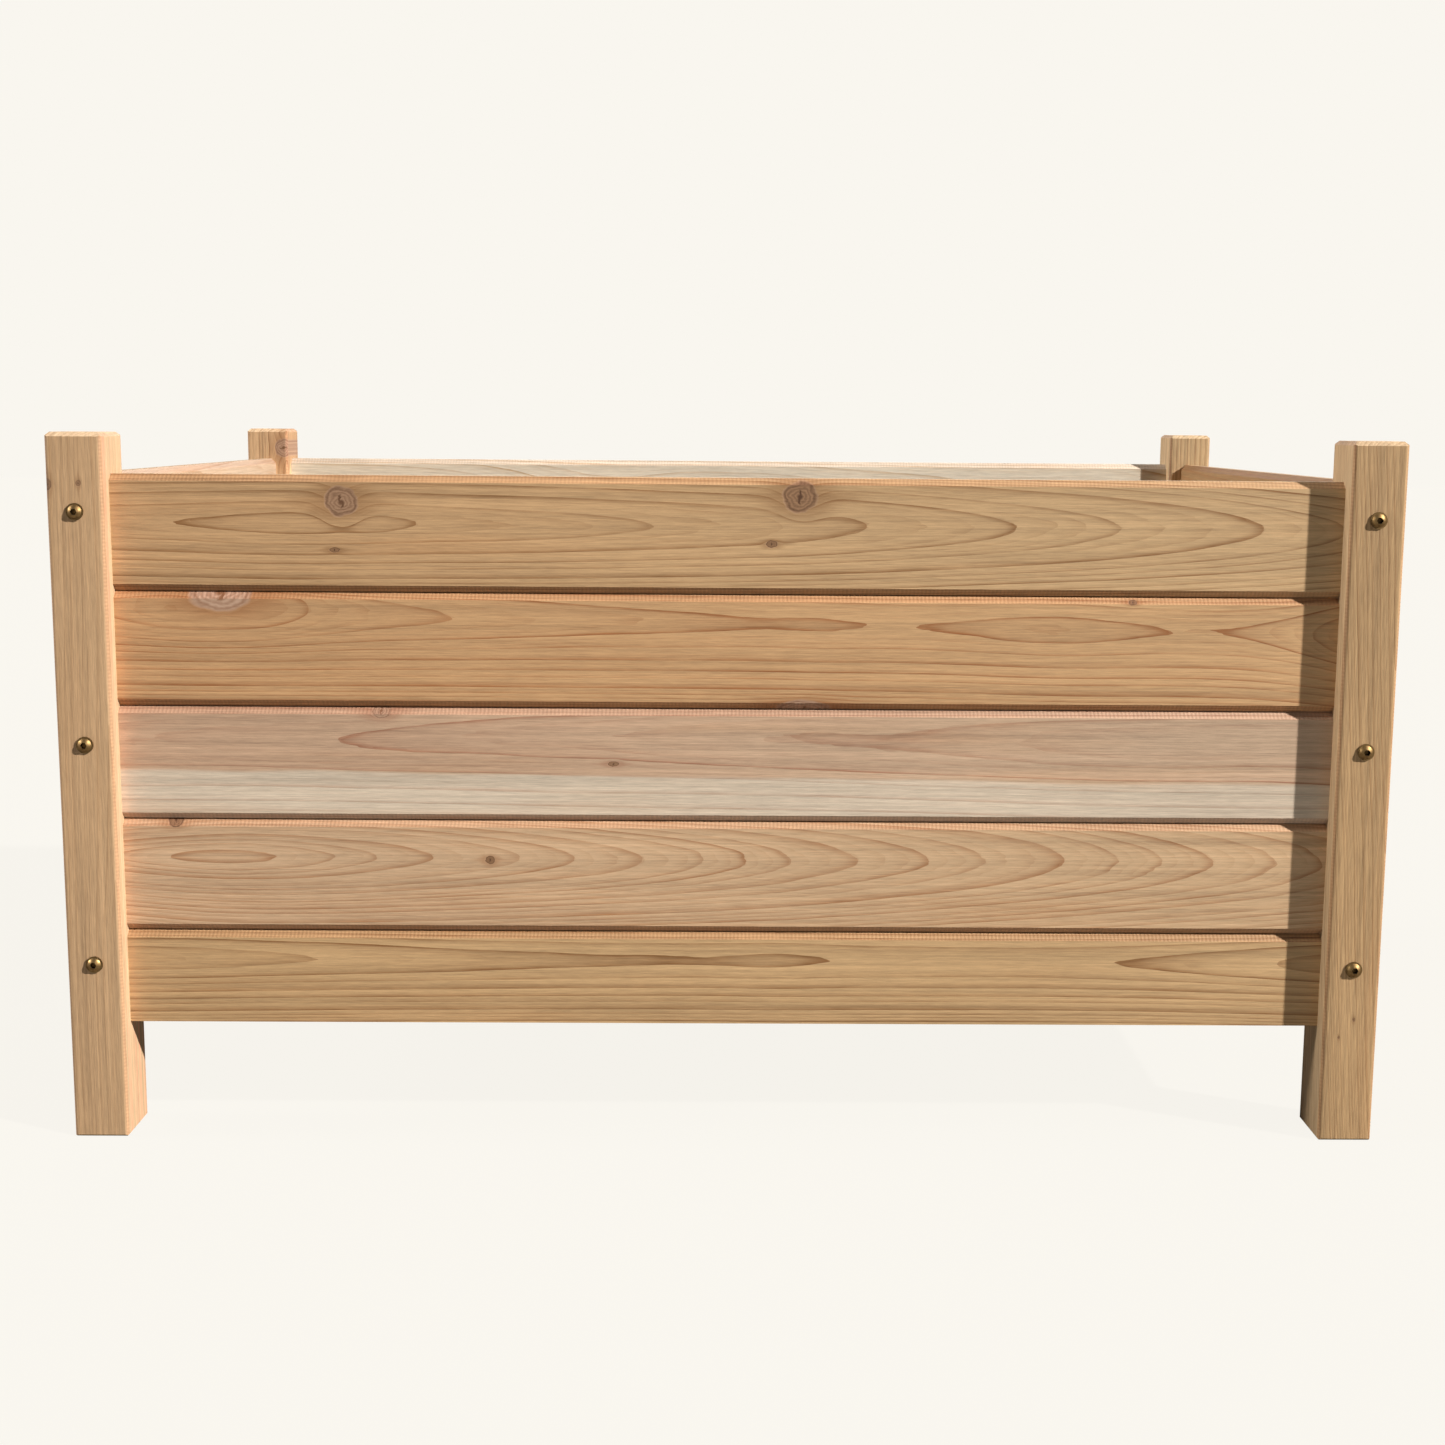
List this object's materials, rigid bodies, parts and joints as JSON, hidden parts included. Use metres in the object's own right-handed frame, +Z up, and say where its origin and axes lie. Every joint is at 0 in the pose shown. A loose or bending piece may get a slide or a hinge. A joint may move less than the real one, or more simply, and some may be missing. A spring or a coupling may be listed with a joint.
{
  "type": "raised planter on legs",
  "caption": "Low rectangular cedar planter box on square corner legs, with bolted V-jointed tongue-and-groove board walls and a slatted floor.",
  "frame": {"origin": "on the ground, at the centre of the footprint", "axes": "+X along the length to the right as seen from the front, +Y from the front to the rear, +Z up"},
  "size_m": [0.92, 0.496, 0.492],
  "materials": {
    "cedar_legs": "planed, unfinished cedar with upright grain, satin",
    "cedar_long_boards": "planed, unfinished knotty cedar, flat-sawn grain along the board",
    "cedar_end_boards": "planed, unfinished knotty cedar, flat-sawn grain along the board",
    "cedar_floor": "planed, unfinished cedar",
    "antique_brass": "antiqued, dark in the recesses and polished on the domes",
    "zinc_hardware": "bright zinc plate"
  },
  "bodies": {
    "root": {"leg_front_left": "cedar_legs", "leg_front_right": "cedar_legs", "leg_rear_left": "cedar_legs", "leg_rear_right": "cedar_legs", "front_board_1": "cedar_long_boards", "front_board_2": "cedar_long_boards", "front_board_3": "cedar_long_boards", "front_board_4": "cedar_long_boards", "front_board_5": "cedar_long_boards", "rear_board_1": "cedar_long_boards", "rear_board_2": "cedar_long_boards", "rear_board_3": "cedar_long_boards", "rear_board_4": "cedar_long_boards", "rear_board_5": "cedar_long_boards", "left_board_1": "cedar_end_boards", "left_board_2": "cedar_end_boards", "left_board_3": "cedar_end_boards", "left_board_4": "cedar_end_boards", "left_board_5": "cedar_end_boards", "right_board_1": "cedar_end_boards", "right_board_2": "cedar_end_boards", "right_board_3": "cedar_end_boards", "right_board_4": "cedar_end_boards", "right_board_5": "cedar_end_boards", "ledger_front": "cedar_floor", "ledger_rear": "cedar_floor", "floor_slat_1": "cedar_floor", "floor_slat_2": "cedar_floor", "floor_slat_3": "cedar_floor", "floor_slat_4": "cedar_floor", "floor_slat_5": "cedar_floor", "floor_slat_6": "cedar_floor", "floor_slat_7": "cedar_floor", "floor_slat_8": "cedar_floor", "floor_slat_9": "cedar_floor", "end_wall_bolts": "antique_brass", "long_wall_bolts": "antique_brass", "end_wall_barrel_nuts": "zinc_hardware", "long_wall_barrel_nuts": "zinc_hardware", "ledger_screws": "zinc_hardware", "slat_screws": "zinc_hardware"}
  },
  "joints": []
}
